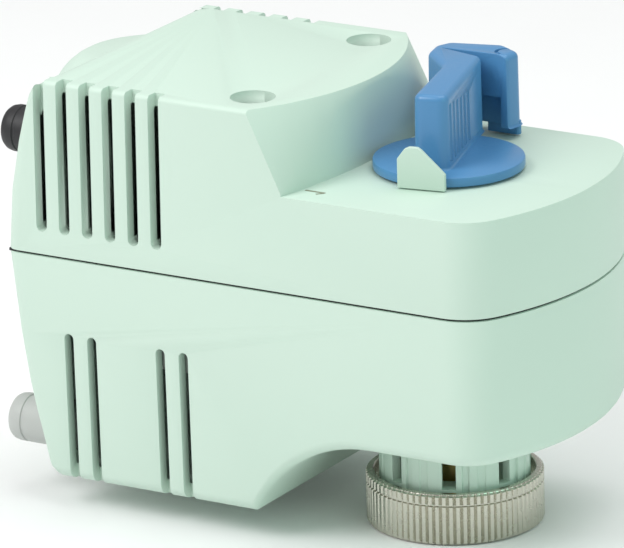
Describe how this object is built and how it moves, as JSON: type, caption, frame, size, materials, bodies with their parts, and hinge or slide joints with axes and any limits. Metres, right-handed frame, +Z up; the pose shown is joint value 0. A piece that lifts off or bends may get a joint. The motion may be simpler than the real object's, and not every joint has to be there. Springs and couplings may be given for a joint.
{
  "type": "motorised valve actuator head",
  "caption": "Motorised actuator head with a vented two-part housing, manual adjuster knob, slotted valve neck and knurled union nut driving a short-stroke push rod.",
  "frame": {"origin": "centre of the union nut's lower face, where the valve's threaded collar enters", "axes": "+Z up along the valve axis towards the knob, +X towards the housing's rounded front end, +Y to the side of the second vent row"},
  "size_m": [0.1573, 0.08, 0.1125],
  "materials": {
    "housing_plastic": "fine moulded texture",
    "blue_plastic": "semi-gloss moulded",
    "grey_plastic": "moulded",
    "dark_plastic": "moulded",
    "gear_plastic": "natural acetal",
    "dark_rubber": "matt",
    "nickel": "nickel plated",
    "zinc_steel": "zinc plated",
    "brass": "turned",
    "enamelled_wire": "enamelled copper wire",
    "board": "solder mask"
  },
  "bodies": {
    "root": {"lower_housing": "housing_plastic", "upper_housing": "housing_plastic", "housing_gasket": "dark_rubber", "housing_screws": "zinc_steel", "valve_neck": "housing_plastic", "guide_bush": "brass", "nut_snap_ring": "zinc_steel", "gear_plate": "zinc_steel", "top_plate": "zinc_steel", "plate_pillars": "zinc_steel", "motor_can": "zinc_steel", "coil_former": "blue_plastic", "coil_winding": "enamelled_wire", "coil_core": "zinc_steel", "circuit_board": "board", "board_parts": "dark_plastic", "terminal_block": "grey_plastic", "cable_gland": "grey_plastic", "blanking_plug": "dark_rubber"},
    "nut": {"union_nut": "nickel"},
    "knob": {"manual_knob": "blue_plastic", "knob_spindle": "zinc_steel", "position_pointer": "housing_plastic"},
    "output": {"output_gear": "gear_plastic"},
    "stem": {"push_rod": "zinc_steel", "stem_coupler": "brass"},
    "second": {"second_gear": "gear_plastic"},
    "first": {"first_gear": "gear_plastic"},
    "motor": {"motor_rotor": "dark_plastic"}
  },
  "joints": [
    {"name": "nut_spin", "type": "hinge", "parent": "root", "child": "nut", "pos_m": [0, 0, 0], "axis": [0, 0, 1], "continuous": true},
    {"name": "knob_turn", "type": "hinge", "parent": "root", "child": "knob", "pos_m": [0, 0, 0.0913], "axis": [0, 0, 1], "range_deg": [-65, 0]},
    {"name": "motor_spin", "type": "hinge", "parent": "root", "child": "motor", "pos_m": [-0.07666, 0.01377, 0.05], "axis": [0, 0, 1], "range_deg": [0, 7638]},
    {"name": "first_spin", "type": "hinge", "parent": "root", "child": "first", "pos_m": [-0.057, 0, 0.07], "axis": [0, 0, 1], "range_deg": [-2546, 0]},
    {"name": "second_spin", "type": "hinge", "parent": "root", "child": "second", "pos_m": [-0.032, 0, 0.07], "axis": [0, 0, 1], "range_deg": [0, 991]},
    {"name": "output_spin", "type": "hinge", "parent": "root", "child": "output", "pos_m": [0, 0, 0.07], "axis": [0, 0, 1], "range_deg": [-331, 0]},
    {"name": "stem_stroke", "type": "slide", "parent": "root", "child": "stem", "axis": [0, 0, 1], "range_m": [0, 0.0055]}
  ],
  "couplings": [
    {"joint": "motor_spin", "follows": "stem_stroke", "rad_per_m": 24235},
    {"joint": "first_spin", "follows": "stem_stroke", "rad_per_m": -8078.4},
    {"joint": "second_spin", "follows": "stem_stroke", "rad_per_m": 3141.6},
    {"joint": "output_spin", "follows": "stem_stroke", "rad_per_m": -1047.2}
  ]
}
